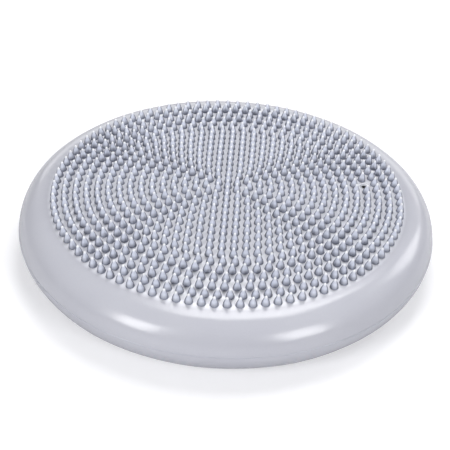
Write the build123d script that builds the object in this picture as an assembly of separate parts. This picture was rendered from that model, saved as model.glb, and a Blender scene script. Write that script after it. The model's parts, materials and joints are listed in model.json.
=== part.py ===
from build123d import *
import math
import os

# Wobble cushion: an air-filled PVC disc, 330 mm across, with moulded massage spikes.
# Origin: on the floor, at the middle of the underside. +Z is up through the spiked face.
# The spiked face is part of a sphere, and every spike stands square to it.

# Whole body
BODY_R = 165.0          # outer radius at the equator (330 mm disc)
SKIN_T = 3.0            # wall thickness of the soft PVC skin
RIM_R = 22.5            # radius of the half-round rim in section
EQUATOR_Z = 24.0        # height of the widest line, where the two halves meet
DOME_R = 1730.0         # sphere radius of the spiked face
FLAT_R = 100.0          # radius of the flat patch that rests on the floor

# Weld bead between the halves
SEAM_H = 1.2            # height of the bead
SEAM_PROUD = 0.35       # how far its rounded edge stands out of the rim
SEAM_INSET = 0.9        # how far it stands into the air space

# Massage spikes on the upper face
RING_COUNT = 16         # concentric rings, with 6 more spikes in each ring than in the last
SECTORS = 6
FACE_R = 136.5          # radius of the outermost ring
CAP_R = 142.0           # edge of the sheet that is made with the spikes
FIRST_ANGLE = 90.0      # a ring that isn't turned starts on the +Y sector line
RING_TURN = {11: 0.17, 13: -0.42, 14: 0.5, 16: -0.18}    # turned rings, in spike spacings
SPIKE_H = 8.0           # height above the face
SPIKE_BASE_R = 3.0      # radius where it meets the face
SPIKE_TIP_R = 1.3       # radius of the rounded tip
SPIKE_ROOT = 1.0        # depth of the root sunk in the skin

# Needle valve, in place of one spike
VALVE_RING = 13
VALVE_SITE = 61         # counted round the ring from FIRST_ANGLE
SEAT_NECK_R = 5.5       # neck that fills the hole in the skin
SEAT_FLANGE_R = 9.0     # flange welded to the inside of the skin
SEAT_FLANGE_T = 2.0
SEAT_TUBE_R = 6.0
SEAT_DEPTH = 15.0       # length below the face
SEAT_LIP_T = 1.5        # end lip that keeps the plug in
SEAT_LIP_R = 2.0        # hole in the lip, for the needle's end
CORE_R = 3.6            # radius of the self-sealing plug
CORE_SINK = 0.4         # how far the plug's top lies below the face
NEEDLE_R = 1.4          # lead-in hole for the pump needle
NEEDLE_DEPTH = 8.0
NEEDLE_MOUTH_R = 2.1    # rounded-off mouth of the lead-in hole
NEEDLE_MOUTH_T = 0.6

# Worked out from the sizes above
RIM_X = BODY_R - RIM_R
DOME_Z = EQUATOR_Z - math.sqrt((DOME_R - RIM_R) ** 2 - RIM_X ** 2)
RIM_LIFT = EQUATOR_Z - RIM_R
UNDER_R = ((RIM_X - FLAT_R) ** 2 / RIM_LIFT + EQUATOR_Z + RIM_R) / 2
RING_PITCH = FACE_R / RING_COUNT

OVERRUN = 2.0           # how far a cutting shape runs past what it cuts


def point_from(centre, toward, radius):
    """Point at a radius from centre, on the line through toward."""
    return centre + (toward - centre).normalized() * radius


def mid_of_arc(centre, first, last):
    """Point halfway along the short arc from first to last about centre."""
    radius = (first - centre).length
    return point_from(centre, (first + last) * 0.5, radius)


def section(inset):
    """Half section of the body, set in by inset, as a closed face in the XZ plane."""
    dome_c = Vector(0, 0, DOME_Z)
    rim_c = Vector(RIM_X, 0, EQUATOR_Z)
    under_c = Vector(FLAT_R, 0, UNDER_R)
    apex = Vector(0, 0, DOME_Z + DOME_R - inset)
    shoulder = point_from(dome_c, rim_c, DOME_R - inset)
    equator = Vector(BODY_R - inset, 0, EQUATOR_Z)
    heel = point_from(under_c, rim_c, UNDER_R - inset)
    flat_edge = Vector(FLAT_R, 0, inset)
    bottom = Vector(0, 0, inset)
    outline = [
        ThreePointArc(apex, mid_of_arc(dome_c, apex, shoulder), shoulder),
        ThreePointArc(shoulder, mid_of_arc(rim_c, shoulder, equator), equator),
        ThreePointArc(equator, mid_of_arc(rim_c, equator, heel), heel),
        ThreePointArc(heel, mid_of_arc(under_c, heel, flat_edge), flat_edge),
        Line(flat_edge, bottom),
        Line(bottom, apex),
    ]
    return make_face(Wire(outline))


def spin(face):
    return revolve(face, Axis.Z, 360)


def band(z_low, z_high, r_low, r_high):
    """Ring or disc between two heights and two radii."""
    ring = Cylinder(r_high, z_high - z_low, align=(Align.CENTER, Align.CENTER, Align.MIN))
    if r_low > 0:
        ring -= Cylinder(r_low, z_high - z_low, align=(Align.CENTER, Align.CENTER, Align.MIN))
    return Pos(0, 0, z_low) * ring


def on_dome(radius, angle):
    """Location on the spiked face, with its Z square to the face."""
    tilt = math.degrees(math.asin(radius / DOME_R))
    return Pos(0, 0, DOME_Z) * Rot(0, 0, angle) * Rot(0, tilt, 0) * Pos(0, 0, DOME_R)


def site_angle(ring, site):
    return FIRST_ANGLE + 360.0 * (site + RING_TURN.get(ring, 0)) / (SECTORS * ring)


def spike_sites():
    """Ring, place in the ring, radius and angle of every spike site, from the centre out."""
    sites = [(0, 0, 0.0, FIRST_ANGLE)]
    for ring in range(1, RING_COUNT + 1):
        count = SECTORS * ring
        for site in range(count):
            sites.append((ring, site, ring * RING_PITCH, site_angle(ring, site)))
    return sites


def make_spike():
    """One spike: a cone with a rounded tip, its Z axis square to the face at z = 0."""
    tip_z = SPIKE_H - SPIKE_TIP_R
    slant = math.hypot(tip_z, SPIKE_BASE_R)
    lean = math.asin(SPIKE_TIP_R / slant) + math.atan2(SPIKE_BASE_R, tip_z)
    touch = Vector(SPIKE_TIP_R * math.cos(lean), 0, tip_z + SPIKE_TIP_R * math.sin(lean))
    flare = (SPIKE_BASE_R - touch.X) / touch.Z
    root = Vector(SPIKE_BASE_R + flare * SPIKE_ROOT, 0, -SPIKE_ROOT)
    top = Vector(0, 0, SPIKE_H)
    tip_c = Vector(0, 0, tip_z)
    outline = [
        Line(Vector(0, 0, -SPIKE_ROOT), root),
        Line(root, touch),
        ThreePointArc(touch, mid_of_arc(tip_c, touch, top), top),
        Line(top, Vector(0, 0, -SPIKE_ROOT)),
    ]
    return spin(make_face(Wire(outline)))


def is_valve(ring, site):
    return ring == VALVE_RING and site == VALVE_SITE


def valve_place():
    return on_dome(VALVE_RING * RING_PITCH, site_angle(VALVE_RING, VALVE_SITE))


def face_ball(inset):
    """Ball whose top is the spiked face, turned so that its poles lie far from the face."""
    return Pos(0, 0, DOME_Z) * Rot(90, 0, 0) * Sphere(DOME_R - inset)


def make_spiked_cap():
    """Round sheet of skin under the spikes, in one piece with them."""
    sheet = band(EQUATOR_Z, EQUATOR_Z + 2 * RIM_R, 0, CAP_R) & face_ball(0)
    sheet -= face_ball(SKIN_T)
    spike = make_spike()
    spikes = [on_dome(r, a) * spike for ring, site, r, a in spike_sites() if not is_valve(ring, site)]
    return sheet.fuse(*spikes)


def make_upper_shell(skin):
    """Spiked upper half of the skin, open at the valve."""
    rim = skin & band(EQUATOR_Z + SEAM_H / 2, EQUATOR_Z + 2 * RIM_R, CAP_R, BODY_R + OVERRUN)
    hole = Cylinder(SEAT_NECK_R, 2 * (SKIN_T + OVERRUN))
    return rim + make_spiked_cap() - valve_place() * hole


def make_lower_shell(skin):
    """Smooth lower half of the skin."""
    return skin & band(-OVERRUN, EQUATOR_Z - SEAM_H / 2, 0, BODY_R + OVERRUN)


def make_weld_seam():
    """Weld bead that joins the halves, rounded where it stands out of the rim."""
    inner = BODY_R - SKIN_T - SEAM_INSET
    bead = band(EQUATOR_Z - SEAM_H / 2, EQUATOR_Z + SEAM_H / 2, inner, BODY_R + SEAM_PROUD)
    rims = bead.edges().filter_by(GeomType.CIRCLE)
    return fillet([edge for edge in rims if edge.radius > BODY_R], SEAM_PROUD)


def face_ball_from(inset):
    """The same ball, seen from a place on the face."""
    return Pos(0, 0, -DOME_R) * Rot(90, 0, 0) * Sphere(DOME_R - inset)


def make_valve_seat():
    """Flanged cup, flush with the face, that holds the plug."""
    flange_z = -SKIN_T - SEAT_FLANGE_T
    neck = band(flange_z, OVERRUN, 0, SEAT_NECK_R) & face_ball_from(0)
    flange = band(flange_z, OVERRUN, 0, SEAT_FLANGE_R) & face_ball_from(SKIN_T)
    tube = band(-SEAT_DEPTH, flange_z, 0, SEAT_TUBE_R)
    cup = neck + flange + tube
    cup -= band(SEAT_LIP_T - SEAT_DEPTH, OVERRUN, 0, CORE_R)
    cup -= band(-SEAT_DEPTH - OVERRUN, OVERRUN, 0, SEAT_LIP_R)
    return valve_place() * cup


def make_valve_core():
    """Self-sealing rubber plug with a lead-in hole for the pump needle."""
    top = -CORE_SINK
    plug = band(SEAT_LIP_T - SEAT_DEPTH, top, 0, CORE_R)
    plug -= band(top - NEEDLE_DEPTH, top + OVERRUN, 0, NEEDLE_R)
    mouth = Cone(NEEDLE_R, NEEDLE_MOUTH_R, NEEDLE_MOUTH_T, align=(Align.CENTER, Align.CENTER, Align.MAX))
    plug -= Pos(0, 0, top) * mouth
    return valve_place() * plug


body_skin = spin(section(0)) - spin(section(SKIN_T))
parts = {
    "upper_shell": make_upper_shell(body_skin),
    "lower_shell": make_lower_shell(body_skin),
    "weld_seam": make_weld_seam(),
    "valve_seat": make_valve_seat(),
    "valve_core": make_valve_core(),
}

os.makedirs("parts", exist_ok=True)
for name, shape in parts.items():
    export_step(shape, os.path.join("parts", name + ".step"))
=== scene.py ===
import json
import math

import bmesh
import bpy
import numpy as np
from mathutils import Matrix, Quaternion, Vector
from mathutils.geometry import delaunay_2d_cdt


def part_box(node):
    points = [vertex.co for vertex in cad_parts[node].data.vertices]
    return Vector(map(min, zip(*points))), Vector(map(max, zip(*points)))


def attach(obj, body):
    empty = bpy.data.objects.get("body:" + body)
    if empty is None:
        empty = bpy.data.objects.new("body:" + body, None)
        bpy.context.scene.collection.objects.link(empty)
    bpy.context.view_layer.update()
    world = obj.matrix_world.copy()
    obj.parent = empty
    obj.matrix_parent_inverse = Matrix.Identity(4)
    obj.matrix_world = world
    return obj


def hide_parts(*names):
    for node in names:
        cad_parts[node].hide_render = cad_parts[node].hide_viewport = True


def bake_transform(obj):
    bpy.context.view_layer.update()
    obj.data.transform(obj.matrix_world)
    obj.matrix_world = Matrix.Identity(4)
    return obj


# The looks of an air-filled wobble cushion: a PVC disc with massage spikes on its upper face.
# Lengths are in metres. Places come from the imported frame, and shapes from the sizes below.

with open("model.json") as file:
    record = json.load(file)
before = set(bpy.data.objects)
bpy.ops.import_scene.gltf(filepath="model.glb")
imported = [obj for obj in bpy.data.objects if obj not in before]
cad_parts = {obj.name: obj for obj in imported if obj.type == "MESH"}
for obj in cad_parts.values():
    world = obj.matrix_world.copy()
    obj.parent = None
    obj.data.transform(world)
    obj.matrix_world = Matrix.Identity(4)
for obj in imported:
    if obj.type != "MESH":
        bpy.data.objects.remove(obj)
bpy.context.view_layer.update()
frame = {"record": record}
MM = 0.001
TINY = 1e-9                 # a length below this counts as nothing
UP = np.array([0.0, 0.0, 1.0])

# Body, as the frame was built
upper_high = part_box("upper_shell")[1]
seam_low, seam_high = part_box("weld_seam")
BODY_R = round(upper_high.x, 4)
EQUATOR_Z = (seam_low.z + seam_high.z) / 2
SKIN_T = 3.0 * MM
RIM_R = 22.5 * MM           # radius of the half-round rim in section
DOME_R = 1730.0 * MM        # sphere radius of the spiked face
FLAT_R = 100.0 * MM         # radius of the flat patch that rests on the floor
CAP_R = 142.0 * MM          # edge of the spiked sheet
RIM_X = BODY_R - RIM_R
DOME_Z = EQUATOR_Z - math.sqrt((DOME_R - RIM_R) ** 2 - RIM_X ** 2)
DOME_CENTRE = np.array([0.0, 0.0, DOME_Z])
UNDER_R = ((RIM_X - FLAT_R) ** 2 / (EQUATOR_Z - RIM_R) + EQUATOR_Z + RIM_R) / 2
SHOULDER = math.atan2(EQUATOR_Z - DOME_Z, RIM_X)            # where the rim meets the spiked face
HEEL = math.atan2(EQUATOR_Z - UNDER_R, RIM_X - FLAT_R)      # where the rim meets the underside

# Mesh of the body
AROUND = 240                # points round the body
RIM_STEPS = 18              # points down each half of the rim
FLAT_LOOPS = (0.66, 0.33, 0.0)      # loops on the flat patch, as shares of its radius
SHARP_ANGLE = math.radians(60)

# Slight unevenness of the blown-up rim
RIM_WAVE = 0.12 * MM
RIM_WAVES = (               # (strength, waves round the body, phase, slant up the rim)
    (1.0, 3, 1.1, 1),
    (0.8, 7, 2.3, -2),
    (0.6, 13, 0.4, 3),
)

# Spikes
RING_COUNT = 16
SECTORS = 6
FACE_R = 136.5 * MM         # radius of the outermost ring
RING_PITCH = FACE_R / RING_COUNT
RING_TURN = {11: 0.17, 13: -0.42, 14: 0.5, 16: -0.18}    # turned rings, in spike spacings
SPIKE_H = upper_high.z - DOME_Z - DOME_R
SPIKE_SIDES = 13
SPIKE_SHAPE = (             # (radius in mm, share of the height), from the skin up
    (3.45, 0.0),
    (3.20, 0.002),
    (3.04, 0.13),
    (2.74, 0.31),
    (2.12, 0.51),
    (1.46, 0.71),
    (1.04, 0.87),
    (0.62, 0.965),
)
SPIKE_HEIGHT_SPREAD = 0.012
SPIKE_LEAN_SPREAD = 0.016
FOOT_GAP = 0.12 * MM        # least skin between a spike's foot and the valve's neck

# Weld bead
BEAD_CORNER = 0.34 * MM     # rounding of the outer corners
BEAD_INSET = 0.9 * MM       # how far the bead stands into the air space

# Valve, on the axis of the record's needle port. Levels are measured from the spiked face.
port = next(mount for mount in frame["record"]["mounts"] if mount["name"] == "needle_port")
VALVE_AXIS = np.array(port["axis"])
VALVE_SIDES = 48
CORNER_STEPS = 4
SEAT_NECK_R = 5.5 * MM
SEAT_FLANGE_R = 9.0 * MM
SEAT_FLANGE_LOW = -5.0 * MM
SEAT_TUBE_R = 6.0 * MM
SEAT_LOW = -15.0 * MM
SEAT_LIP_R = 2.0 * MM
SEAT_LIP_HIGH = -13.5 * MM
PLUG_R = 3.6 * MM
PLUG_HIGH = -0.4 * MM
NEEDLE_R = 1.4 * MM
NEEDLE_LOW = -8.4 * MM
MOUTH_R = 2.1 * MM
MOUTH_LOW = -0.9 * MM
FINE_ROUND = 0.3 * MM
COARSE_ROUND = 0.6 * MM
SEAT_SECTION = (            # (radius, level, rounding), from the mouth round to the mouth
    (PLUG_R, 0.0, FINE_ROUND),
    (SEAT_NECK_R, 0.0, 0.25 * MM),
    (SEAT_NECK_R, -SKIN_T, 0.0),
    (SEAT_FLANGE_R, -SKIN_T, 0.0),
    (SEAT_FLANGE_R, SEAT_FLANGE_LOW, COARSE_ROUND),
    (SEAT_TUBE_R, SEAT_FLANGE_LOW, 0.0),
    (SEAT_TUBE_R, SEAT_LOW, COARSE_ROUND),
    (SEAT_LIP_R, SEAT_LOW, 0.4 * MM),
    (SEAT_LIP_R, SEAT_LIP_HIGH, 0.4 * MM),
    (PLUG_R, SEAT_LIP_HIGH, 0.0),
)
PLUG_SECTION = (            # from the bottom of the needle hole to the underside
    (0.0, NEEDLE_LOW, 0.0),
    (NEEDLE_R, NEEDLE_LOW, FINE_ROUND),
    (NEEDLE_R, MOUTH_LOW, 0.0),
    (MOUTH_R, PLUG_HIGH, FINE_ROUND),
    (PLUG_R, PLUG_HIGH, FINE_ROUND),
    (PLUG_R, SEAT_LIP_HIGH, FINE_ROUND),
    (0.0, SEAT_LIP_HIGH, 0.0),
)


# Points and surfaces

def circle_turns(sides):
    """Angles of evenly spaced points round a circle."""
    return 2 * np.pi * np.arange(sides) / sides


def dome_axes(outward):
    """Two directions square to each outward direction, the first one in the plane of the Z axis."""
    along = np.cross(np.cross(outward, UP), outward)
    length = np.linalg.norm(along, axis=-1, keepdims=True)
    along = np.where(length > TINY, along / np.maximum(length, TINY), [1.0, 0.0, 0.0])
    return along, np.cross(outward, along)


def loops_about(origin, outward, radius, height, sides):
    """Round loops about lines that leave the origin in the outward directions."""
    along, across = dome_axes(outward)
    turn = circle_turns(sides)[:, None]
    side = along[..., None, :] * np.cos(turn) + across[..., None, :] * np.sin(turn)
    middle = origin + outward * np.asarray(height)[..., None]
    return middle[..., None, :] + side * np.asarray(radius)[..., None, None]


def rounded(section):
    """Section points (radius, height) from corners (radius, height, rounding)."""
    points = []
    for step, (radius, height, rounding) in enumerate(section):
        corner = Vector((radius, height))
        if rounding == 0:
            points.append(tuple(corner))
            continue
        before = (Vector(section[step - 1][:2]) - corner).normalized()
        after = (Vector(section[(step + 1) % len(section)][:2]) - corner).normalized()
        half = before.angle(after) / 2
        centre = corner + (before + after).normalized() * (rounding / math.sin(half))
        first = corner + before * (rounding / math.tan(half)) - centre
        last = corner + after * (rounding / math.tan(half)) - centre
        for part in range(CORNER_STEPS + 1):
            arm = first.normalized().slerp(last.normalized(), part / CORNER_STEPS)
            points.append(tuple(centre + arm * rounding))
    return points


def arc(centre, radius, start, end, steps):
    """Section points along an arc. Angles are in radians above the horizontal."""
    turns = np.linspace(start, end, steps)
    return [(centre[0] + radius * math.cos(a), centre[1] + radius * math.sin(a)) for a in turns]


class Surface:
    """One closed surface, put together from loops of points. A point's rise is its share of the
    height of its spike, and 0 off the spikes."""

    def __init__(self):
        self.points = []
        self.rise = []
        self.faces = []
        self.count = 0

    def add(self, points, rise=0.0):
        """Adds points and returns their numbers, in the points' own layout."""
        points = np.asarray(points, float)
        total = points.size // 3
        numbers = np.arange(self.count, self.count + total).reshape(points.shape[:-1])
        self.points.append(points.reshape(-1, 3))
        self.rise.append(np.full(total, rise))
        self.count += total
        return numbers

    def join(self, first, second):
        """Quads between loops of the same length. A tip, which is one number, gets triangles."""
        first, second = np.atleast_1d(first), np.atleast_1d(second)
        if first.shape[-1] == 1:
            first, second = second, first
        ahead = np.roll(first, -1, -1)
        if second.shape[-1] == 1:
            corners = [first, ahead, np.broadcast_to(second, first.shape)]
        else:
            corners = [first, ahead, np.roll(second, -1, -1), second]
        self.faces.extend(np.stack(corners, -1).reshape(-1, len(corners)).tolist())

    def turn(self, section, origin=(0.0, 0.0, 0.0), axis=UP, sides=AROUND, closed=False):
        """Turns section points (radius, height) about an axis and returns the loops."""
        loops = []
        for radius, height in section:
            loop = loops_about(np.array(origin), axis, radius, height, sides)
            loops.append(self.add(loop if radius > 0 else loop[:1]))
        for low, high in zip(loops, loops[1:]):
            self.join(low, high)
        if closed:
            self.join(loops[-1], loops[0])
        return loops

    def fill(self, edge, holes):
        """Triangles inside the round edge loop and outside the hole loops, all as seen from above."""
        loops = [edge] + holes
        numbers = np.concatenate(loops)
        owner = np.repeat(np.arange(len(loops)), [len(loop) for loop in loops])
        ends = np.cumsum([len(loop) for loop in loops])
        ties = []
        for loop, end in zip(loops, ends):
            step = np.arange(end - len(loop), end)
            ties += np.stack([step, np.roll(step, -1)], -1).tolist()
        flat = [Vector((x, y)) for x, y in np.concatenate(self.points)[numbers, :2]]
        _, _, triangles, source, _, _ = delaunay_2d_cdt(flat, ties, [], 0, TINY)
        for triangle in triangles:
            corners = [source[point][0] for point in triangle]
            owners = {owner[corner] for corner in corners}
            inside_hole = len(owners) == 1 and owners != {0}
            if not inside_hole:
                self.faces.append([int(numbers[corner]) for corner in corners])

    def build(self, name, bend=None):
        """Makes the object. bend moves the points, if it is given."""
        points = np.concatenate(self.points)
        if bend:
            points = bend(points)
        mesh = bpy.data.meshes.new(name)
        mesh.from_pydata(points.tolist(), [], self.faces)
        rise = mesh.attributes.new("rise", "FLOAT", "POINT")
        rise.data.foreach_set("value", np.concatenate(self.rise).astype(np.float32))
        work = bmesh.new()
        work.from_mesh(mesh)
        bmesh.ops.recalc_face_normals(work, faces=work.faces)
        work.to_mesh(mesh)
        work.free()
        mesh.shade_smooth()
        mesh.set_sharp_from_angle(angle=SHARP_ANGLE)
        piece = bpy.data.objects.new(name, mesh)
        bpy.context.scene.collection.objects.link(piece)
        return piece


# Skin

def rim_angle(height, inset):
    """Angle round the rim's section at a height."""
    return math.asin((height - EQUATOR_Z) / (RIM_R - inset))


def upper_rim(inset):
    """Section from the edge of the spiked sheet down to the weld."""
    edge = (CAP_R, DOME_Z + math.sqrt((DOME_R - inset) ** 2 - CAP_R ** 2))
    end = rim_angle(seam_high.z, inset)
    return [edge] + arc((RIM_X, EQUATOR_Z), RIM_R - inset, SHOULDER, end, RIM_STEPS)


def lower_rim(inset):
    """Section from the weld down and in to the middle of the underside."""
    start = rim_angle(seam_low.z, inset)
    rim = arc((RIM_X, EQUATOR_Z), RIM_R - inset, start, HEEL, RIM_STEPS)
    under = arc((FLAT_R, UNDER_R), UNDER_R - inset, HEEL, -math.pi / 2, RIM_STEPS // 2)
    flat = [(FLAT_R * share, inset) for share in FLAT_LOOPS]
    return rim + under[1:] + flat


def soft_wave(points):
    """Moves the rim in and out a little. The weld, the spiked face and the underside stay put."""
    turn = np.arctan2(points[:, 1], points[:, 0])
    side = np.hypot(points[:, 0], points[:, 1]) - RIM_X
    slope = np.arctan2(points[:, 2] - EQUATOR_Z, side)
    wave = np.zeros(len(points))
    for strength, count, phase, slant in RIM_WAVES:
        wave += strength * np.sin(count * turn + phase + slant * slope)
    wave *= RIM_WAVE * np.sin(2 * slope) ** 2 * (side > 0)
    away = np.stack([np.cos(turn) * np.cos(slope), np.sin(turn) * np.cos(slope), np.sin(slope)], -1)
    return points + away * wave[:, None]


def spike_directions():
    """Outward direction of every spike. The site that the valve takes is left out."""
    directions = [UP]
    for ring in range(1, RING_COUNT + 1):
        count = SECTORS * ring
        turn = math.pi / 2 + 2 * math.pi * (np.arange(count) + RING_TURN.get(ring, 0)) / count
        tilt = math.asin(ring * RING_PITCH / DOME_R)
        for angle in turn:
            away = np.array([math.cos(angle), math.sin(angle), 0.0])
            directions.append(math.sin(tilt) * away + math.cos(tilt) * UP)
    directions = np.array(directions)
    return directions[directions @ VALVE_AXIS < math.cos(RING_PITCH / 2 / DOME_R)]


def add_spikes(surface):
    """Adds every spike, with slightly uneven heights and leans, and returns the loops at their feet."""
    outward = spike_directions()
    along, across = dome_axes(outward)
    rng = np.random.default_rng(RING_COUNT)
    tall = SPIKE_H * (1 - np.abs(rng.normal(0, SPIKE_HEIGHT_SPREAD, len(outward))))
    lean = rng.normal(0, SPIKE_LEAN_SPREAD, (len(outward), 2))
    tall[0] = SPIKE_H       # the middle spike sets the height of the whole disc
    lean[0] = 0
    shift = along * lean[:, :1] + across * lean[:, 1:]
    room = np.arccos(np.clip(outward @ VALVE_AXIS, -1, 1)) * DOME_R - SEAT_NECK_R - FOOT_GAP
    rows = []
    for width, share in SPIKE_SHAPE:
        radius = np.minimum(width * MM, room)
        level = np.sqrt(DOME_R ** 2 - radius ** 2) + tall * share
        loops = loops_about(DOME_CENTRE, outward, radius, level, SPIKE_SIDES)
        rows.append(surface.add(loops + (shift * (tall * share)[:, None])[:, None, :], share))
    tips = DOME_CENTRE + outward * (DOME_R + tall)[:, None] + shift * tall[:, None]
    rows.append(surface.add(tips[:, None, :], 1.0))
    for low, high in zip(rows, rows[1:]):
        surface.join(low, high)
    return list(rows[0])


def make_upper_skin():
    """Upper half of the skin: the spiked sheet, the rim's upper half and the hole for the valve."""
    surface = Surface()
    feet = add_spikes(surface)
    outer = surface.turn(upper_rim(0))
    inner = surface.turn(upper_rim(SKIN_T))
    level = math.sqrt(DOME_R ** 2 - SEAT_NECK_R ** 2)
    hole = [(SEAT_NECK_R, level), (SEAT_NECK_R, level - SKIN_T)]
    mouth, throat = surface.turn(hole, DOME_CENTRE, VALVE_AXIS, VALVE_SIDES)
    surface.fill(outer[0], feet + [mouth])
    surface.fill(inner[0], [throat])
    surface.join(outer[-1], inner[-1])
    return surface.build("upper_skin", soft_wave)


def make_lower_skin():
    """Lower half of the skin: the rim's lower half and the underside."""
    surface = Surface()
    outer = surface.turn(lower_rim(0))
    inner = surface.turn(lower_rim(SKIN_T))
    surface.join(outer[0], inner[0])
    return surface.build("lower_skin", soft_wave)


# Weld bead and valve

def make_weld_bead():
    """Rounded bead between the halves."""
    proud = round(seam_high.x, 5)
    inner = BODY_R - SKIN_T - BEAD_INSET
    corners = (
        (inner, seam_low.z, 0.0),
        (proud, seam_low.z, BEAD_CORNER),
        (proud, seam_high.z, BEAD_CORNER),
        (inner, seam_high.z, 0.0),
    )
    surface = Surface()
    surface.turn(rounded(corners), closed=True)
    return surface.build("weld_bead")


def make_valve_piece(name, section, closed):
    """Turned piece on the valve's axis, with heights from the spiked face."""
    surface = Surface()
    origin = DOME_CENTRE + VALVE_AXIS * DOME_R
    surface.turn(rounded(section), origin, VALVE_AXIS, VALVE_SIDES, closed)
    return surface.build(name)


upper_skin = make_upper_skin()
lower_skin = make_lower_skin()
weld_bead = make_weld_bead()
valve_cup = make_valve_piece("valve_cup", SEAT_SECTION, True)
valve_plug = make_valve_piece("valve_plug", PLUG_SECTION, False)


# Materials

def linear(red, green, blue):
    """Screen colour, 0 to 255, as the linear colour that the nodes take."""
    shares = [value / 255 for value in (red, green, blue)]
    return [s / 12.92 if s < 0.04045 else ((s + 0.055) / 1.055) ** 2.4 for s in shares] + [1.0]


PVC_GREY = linear(191, 192, 201)
PVC_DEEP = linear(180, 181, 192)
# Painted light: the skin among the spikes is painted paler than the same PVC on the rim.
PVC_PAINTED_LIGHT = linear(238, 239, 247)
# Painted light and shade on the spikes' walls: lighter than the rim's PVC, darker than the painted
# light on the skin among them.
PVC_SPIKE_PAINTED_SHADING = linear(210, 214, 228)
# Painted shade for the spikes' feet, the creases and the spikes' outlines.
PVC_PAINTED_SHADE = linear(76, 82, 98)
# Painted highlight on the spikes' tips.
PVC_PAINTED_HIGHLIGHT = linear(242, 243, 248)
WELD_GREY = linear(189, 191, 201)
VALVE_GREY = linear(214, 215, 222)
RUBBER_DARK = linear(164, 166, 174)
RUBBER_PALE = linear(186, 188, 196)
# Painted shade down in the needle's hole.
HOLE_PAINTED_SHADE = linear(16, 17, 20)
WHITE = linear(255, 255, 255)

# Patch sizes and bump depths
CLOUD_SIZE = 45 * MM
SPECK_SIZE = 1.3 * MM
SHEEN_SIZE = 12 * MM
PEEL_SIZE = 1.6 * MM
PEEL_DEPTH = 0.03 * MM
DENT_SIZE = 9 * MM
DENT_DEPTH = 0.05 * MM
RUBBER_PATCH = 1.5 * MM
RUBBER_SHEEN = 2.0 * MM
GRAIN_SIZE = 0.35 * MM
GRAIN_DEPTH = 0.02 * MM
FIBRE_SIZE = 2 * MM

# How much a tone covers of what is under it, where it is strongest. Apart from the clouds and specks,
# these tones are painted light and shade.
CLOUD_SHARE = 0.30
SPECK_SHARE = 0.15
PAINTED_LIGHT_SHARE = 0.75
FOOT_SHADE_SHARE = 0.72
CREASE_SHADE_SHARE = 0.9
OUTLINE_SHADE_SHARE = 0.95

# Where a tone starts and ends. Levels on a spike are shares of its height.
CLOUDED = (0.35, 0.7)                       # noise value, from plain to clouded
SPECKED = (0.45, 0.75)                      # noise value, from plain to speck
FACE_EDGE = (CAP_R - 4 * MM, CAP_R)         # from the spiked sheet's tone, with its painted light and shade, to the rim's
SPIKE_START = (0.01, 0.03)                  # from the skin's tone to the spike's painted tone
FOOT_SHADE = (0.05, 0.50)                   # from the darkest level to the end of the shade
TIP_HIGHLIGHT = (0.76, 0.93)                     # from none to the full painted highlight
CREASED = (0.35, 0.80)                      # openness, from the painted shade of the deepest crease to none
TURNED_AWAY = (0.28, 0.70)                  # from facing the viewer to the outline, where the spikes' painted outline shade is full
NEEDLE_HOLE = (1.8 * MM, 2.2 * MM)          # distance from the valve's axis, from full painted shade in the needle's hole to none
CREASE_REACH = 1.4 * MM                     # gaps wider than this aren't creases and get no painted shade
AO_SAMPLES = 6

# Gloss
SHEEN = (0.3, 0.7)                          # noise value, from the least rough to the roughest
PVC_ROUGHNESS = (0.19, 0.24)
PVC_IOR = 1.52
RUBBER_ROUGHNESS = (0.55, 0.75)
RUBBER_IOR = 1.5
PAPER_IOR = 1.01                            # next to none


class Nodes:
    """Helper that adds nodes to a material's or a world's tree."""

    def __init__(self, tree):
        self.tree = tree

    def put(self, socket, value):
        """Gives a socket a value, or a link when the value is another node's output."""
        if isinstance(value, bpy.types.NodeSocket):
            self.tree.links.new(value, socket)
        else:
            socket.default_value = value

    def node(self, kind, inputs, **settings):
        """Adds a node. Inputs are given by name or by number."""
        made = self.tree.nodes.new("ShaderNode" + kind)
        for key, value in settings.items():
            setattr(made, key, value)
        for key, value in inputs.items():
            self.put(made.inputs[key], value)
        return made

    def ramp(self, value, start, end, low=0.0, high=1.0):
        """low up to the start, high from the end on, and straight between them."""
        inputs = {"Value": value, "From Min": start, "From Max": end, "To Min": low, "To Max": high}
        return self.node("MapRange", inputs).outputs["Result"]

    def to_camera(self):
        """1 for what the camera sees directly, and 0 for reflections and for light."""
        return self.node("LightPath", {}).outputs["Is Camera Ray"]


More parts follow.
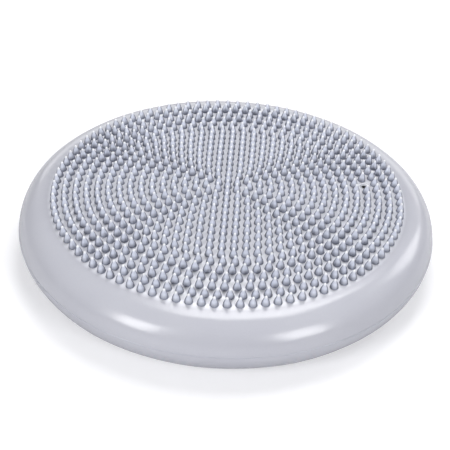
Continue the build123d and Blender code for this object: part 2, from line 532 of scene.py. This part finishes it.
class Finish(Nodes):
    """A node material under construction. Sizes of patterns are in metres, in the frame."""

    def __init__(self, name):
        self.material = bpy.data.materials.new(name)
        self.material.use_nodes = True
        super().__init__(self.material.node_tree)
        self.shader = self.tree.nodes["Principled BSDF"]
        self.place = self.node("TexCoord", {}).outputs["Object"]

    def noise(self, size, detail=2.0):
        """Uneven value from 0 to 1 whose patches are about this size."""
        inputs = {"Vector": self.place, "Scale": 1 / size, "Detail": detail}
        return self.node("TexNoise", inputs).outputs["Fac"]

    def blend(self, share, first, second):
        """Colour between two colours. The sockets are the ones that the Mix node keeps for colours."""
        return self.node("Mix", {0: share, 6: first, 7: second}, data_type="RGBA").outputs[2]

    def bump(self, height, depth, normal=None):
        """Surface direction over bumps of this depth, on top of an earlier one if it is given."""
        inputs = {"Height": height, "Distance": depth, "Strength": 1.0}
        if normal is not None:
            inputs["Normal"] = normal
        return self.node("Bump", inputs).outputs["Normal"]

    def times(self, first, second):
        """Product of two values."""
        return self.node("Math", {0: first, 1: second}, operation="MULTIPLY").outputs[0]

    def rise(self):
        """Share of the height of the spike, 1 at its tip."""
        return self.node("Attribute", {}, attribute_name="rise").outputs["Fac"]

    def length(self, arrow):
        """Length of the vector that a node gives."""
        return self.node("VectorMath", {0: arrow.outputs[0]}, operation="LENGTH").outputs["Value"]

    def off_axis(self):
        """Distance from the disc's axis."""
        inputs = {0: self.place, 1: (1.0, 1.0, 0.0)}
        return self.length(self.node("VectorMath", inputs, operation="MULTIPLY"))

    def off_valve_axis(self):
        """Distance from the valve's axis."""
        inputs = {0: self.place, 1: tuple(port["pos_m"])}
        arm = self.node("VectorMath", inputs, operation="SUBTRACT").outputs[0]
        inputs = {0: arm, 1: tuple(port["axis"])}
        return self.length(self.node("VectorMath", inputs, operation="CROSS_PRODUCT"))

    def facing(self):
        """0 where the surface faces the viewer, and 1 at the outline."""
        return self.node("LayerWeight", {"Blend": 0.5}).outputs["Facing"]

    def openness(self, reach):
        """1 in the open, and less in a crease or a hole narrower than the reach."""
        return self.node("AmbientOcclusion", {"Distance": reach}, samples=AO_SAMPLES).outputs["AO"]

    def finish(self, **inputs):
        """Sets the shader's inputs and returns the material. Underscores in the names are spaces."""
        for key, value in inputs.items():
            self.put(self.shader.inputs[key.replace("_", " ")], value)
        return self.material


def plain_tone(look, body):
    """Faint clouds and fine specks of the deeper tone over the body's tone."""
    clouds = look.ramp(look.noise(CLOUD_SIZE, detail=3.0), *CLOUDED, high=CLOUD_SHARE)
    colour = look.blend(clouds, body, PVC_DEEP)
    specks = look.ramp(look.noise(SPECK_SIZE, detail=1.0), *SPECKED, high=SPECK_SHARE)
    return look.blend(specks, colour, PVC_DEEP)


def spiked_tone(look, colour):
    """Painted light and shade on the spiked face: painted light on the skin among the spikes, painted
    light and shade on the spikes' walls, painted shade at their feet, in creases and along their
    outlines, and painted highlights on the tips.
    """
    rise = look.rise()
    on_face = look.ramp(look.off_axis(), *FACE_EDGE, 1.0, 0.0)
    on_spike = look.ramp(rise, *SPIKE_START)
    foot = look.ramp(rise, *FOOT_SHADE, FOOT_SHADE_SHARE, 0.0)
    crease = look.ramp(look.openness(CREASE_REACH), *CREASED, CREASE_SHADE_SHARE, 0.0)
    outline = look.ramp(look.facing(), *TURNED_AWAY, high=OUTLINE_SHADE_SHARE)
    for share, tone in (
        # painted light on the skin among the spikes
        (look.times(on_face, PAINTED_LIGHT_SHARE), PVC_PAINTED_LIGHT),
        # painted light and shade on the spikes' walls
        (on_spike, PVC_SPIKE_PAINTED_SHADING),
        # painted shade at the spikes' feet
        (look.times(on_spike, foot), PVC_PAINTED_SHADE),
        # painted shade in creases
        (look.times(on_face, crease), PVC_PAINTED_SHADE),
        # painted shade along the spikes' outlines
        (look.times(on_spike, outline), PVC_PAINTED_SHADE),
        # painted highlight on the tips
        (look.ramp(rise, *TIP_HIGHLIGHT), PVC_PAINTED_HIGHLIGHT),
    ):
        colour = look.blend(share, colour, tone)
    return colour


def pvc(name, body):
    """Soft moulded PVC with an uneven sheen, a fine grain and wide shallow dents, and the spiked face's
    painted light and shade.
    """
    look = Finish(name)
    colour = spiked_tone(look, plain_tone(look, body))
    rough = look.ramp(look.noise(SHEEN_SIZE), *SHEEN, *PVC_ROUGHNESS)
    peel = look.bump(look.noise(PEEL_SIZE), PEEL_DEPTH)
    dents = look.bump(look.noise(DENT_SIZE, detail=1.0), DENT_DEPTH, peel)
    return look.finish(Base_Color=colour, Roughness=rough, Normal=dents, IOR=PVC_IOR)


def rubber(name):
    """Matt pale rubber with a fine moulded grain, and black painted shade down in the needle's hole."""
    look = Finish(name)
    colour = look.blend(look.noise(RUBBER_PATCH, detail=3.0), RUBBER_DARK, RUBBER_PALE)
    # Painted shade down in the needle's hole.
    in_hole = look.ramp(look.off_valve_axis(), *NEEDLE_HOLE, 1.0, 0.0)
    colour = look.blend(in_hole, colour, HOLE_PAINTED_SHADE)
    grain = look.bump(look.noise(GRAIN_SIZE), GRAIN_DEPTH)
    rough = look.ramp(look.noise(RUBBER_SHEEN), 0.0, 1.0, *RUBBER_ROUGHNESS)
    return look.finish(Base_Color=colour, Roughness=rough, Normal=grain, IOR=RUBBER_IOR)


skin_finish = pvc("soft_pvc", PVC_GREY)
weld_finish = pvc("welded_pvc", WELD_GREY)
valve_finish = pvc("valve_pvc", VALVE_GREY)
rubber_finish = rubber("valve_rubber")

# What each piece rides on, stands for and is made of
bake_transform(upper_skin)
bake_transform(lower_skin)
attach(weld_bead, "seam")
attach(valve_cup, "face")
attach(valve_plug, "face")
for piece, node, slot, finish in (
    (upper_skin, "upper_shell", "pvc_upper", skin_finish),
    (lower_skin, "lower_shell", "pvc_lower", skin_finish),
    (weld_bead, "weld_seam", "pvc_weld", weld_finish),
    (valve_cup, "valve_seat", "valve_seat_pvc", valve_finish),
    (valve_plug, "valve_core", "valve_rubber", rubber_finish),
):
    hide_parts(node)
    piece.data.materials.append(finish)


# Studio

FLOOR_SIZE = 8.0
FLOOR_DROP = 0.2 * MM
FLOOR_WHITE = linear(216, 216, 218)
FLOOR_PALE = linear(213, 213, 215)
FLOOR_LIFT = 0.55           # glow of the floor at the disc, which only the camera sees
FAR_LIFT = 1.5              # the same glow, far away
WORLD_LOW = 0.10            # light from the horizon
WORLD_HIGH = 0.18           # light from straight above
SOFTBOXES = (               # (name, azimuth, elevation, distance, width, height, glow)
    ("overhead_box", 170, 66, 1.5, 0.75, 0.80, 7.0),
    ("left_box", -41, 28, 1.5, 0.48, 0.72, 10.4),
    ("right_box", 41, 25, 1.5, 0.50, 0.62, 9.2),
    ("side_box", 125, 30, 1.5, 0.50, 0.60, 4.5),
    ("back_strip", 180, 13, 1.8, 2.60, 0.50, 1.8),
)
MIDDLE = Vector((0.0, 0.0, 26 * MM))                # the lights face it, and distances start at it
AIM = Vector((-0.4 * MM, -14.1 * MM, 26 * MM))      # the camera faces it
CAMERA_AZIMUTH = 1.77
CAMERA_ELEVATION = 35.7
CAMERA_DISTANCE = 840 * MM
CAMERA_ROLL = 2.4
CAMERA_LENS = 83.2          # on a 36 mm sensor


def toward(azimuth, elevation):
    """Direction from the object. Azimuth 0 is the viewer's side, and 90 is +X."""
    a, e = math.radians(azimuth), math.radians(elevation)
    return Vector((math.sin(a) * math.cos(e), -math.cos(a) * math.cos(e), math.sin(e)))


def make_floor():
    """Wide sheet of matt white paper just under the disc."""
    mesh = bpy.data.meshes.new("floor")
    half = FLOOR_SIZE / 2
    corners = [(-half, -half), (half, -half), (half, half), (-half, half)]
    mesh.from_pydata([(x, y, -FLOOR_DROP) for x, y in corners], [], [(0, 1, 2, 3)])
    floor = bpy.data.objects.new("floor", mesh)
    bpy.context.scene.collection.objects.link(floor)
    look = Finish("floor_paper")
    fibres = look.blend(look.noise(FIBRE_SIZE, detail=3.0), FLOOR_WHITE, FLOOR_PALE)
    lift = look.ramp(look.off_axis(), BODY_R, FLOOR_SIZE / 4, FLOOR_LIFT, FAR_LIFT)
    look.finish(Base_Color=fibres, Roughness=1.0, IOR=PAPER_IOR)
    look.finish(Emission_Color=FLOOR_WHITE, Emission_Strength=look.times(look.to_camera(), lift))
    mesh.materials.append(look.material)


def make_softbox(name, azimuth, elevation, distance, width, height, glow):
    """Rectangular light that faces the object. glow is its brightness, where white paper is about 1."""
    lamp = bpy.data.lights.new(name, "AREA")
    lamp.shape = "RECTANGLE"
    lamp.size = width
    lamp.size_y = height
    lamp.energy = glow * math.pi * width * height
    box = bpy.data.objects.new(name, lamp)
    way = toward(azimuth, elevation)
    box.location = MIDDLE + way * distance
    box.rotation_mode = "QUATERNION"
    box.rotation_quaternion = way.to_track_quat("Z", "Y")
    bpy.context.scene.collection.objects.link(box)


def make_world():
    """White surround. It lights less than it shows, and less from the horizon than from above."""
    world = bpy.data.worlds.new("studio")
    bpy.context.scene.world = world
    world.use_nodes = True
    look = Nodes(world.node_tree)
    way = look.node("TexCoord", {}).outputs["Generated"]
    height = look.node("SeparateXYZ", {"Vector": way}).outputs["Z"]
    light = look.ramp(height, 0.0, 1.0, WORLD_LOW, WORLD_HIGH)
    surround = world.node_tree.nodes["Background"]
    look.put(surround.inputs["Color"], WHITE)
    look.put(surround.inputs["Strength"], look.ramp(look.to_camera(), 0.0, 1.0, light, 1.0))


def make_camera():
    """Camera at the photo's viewing angle."""
    data = bpy.data.cameras.new("camera")
    data.lens = CAMERA_LENS
    data.clip_start = 0.05
    camera = bpy.data.objects.new("camera", data)
    camera.location = MIDDLE + toward(CAMERA_AZIMUTH, CAMERA_ELEVATION) * CAMERA_DISTANCE
    camera.rotation_mode = "QUATERNION"
    aimed = (AIM - camera.location).to_track_quat("-Z", "Y")
    camera.rotation_quaternion = aimed @ Quaternion((0, 0, 1), math.radians(CAMERA_ROLL))
    bpy.context.scene.collection.objects.link(camera)
    bpy.context.scene.camera = camera


make_floor()
make_world()
for settings in SOFTBOXES:
    make_softbox(*settings)
make_camera()
bpy.context.scene.view_settings.view_transform = "Standard"
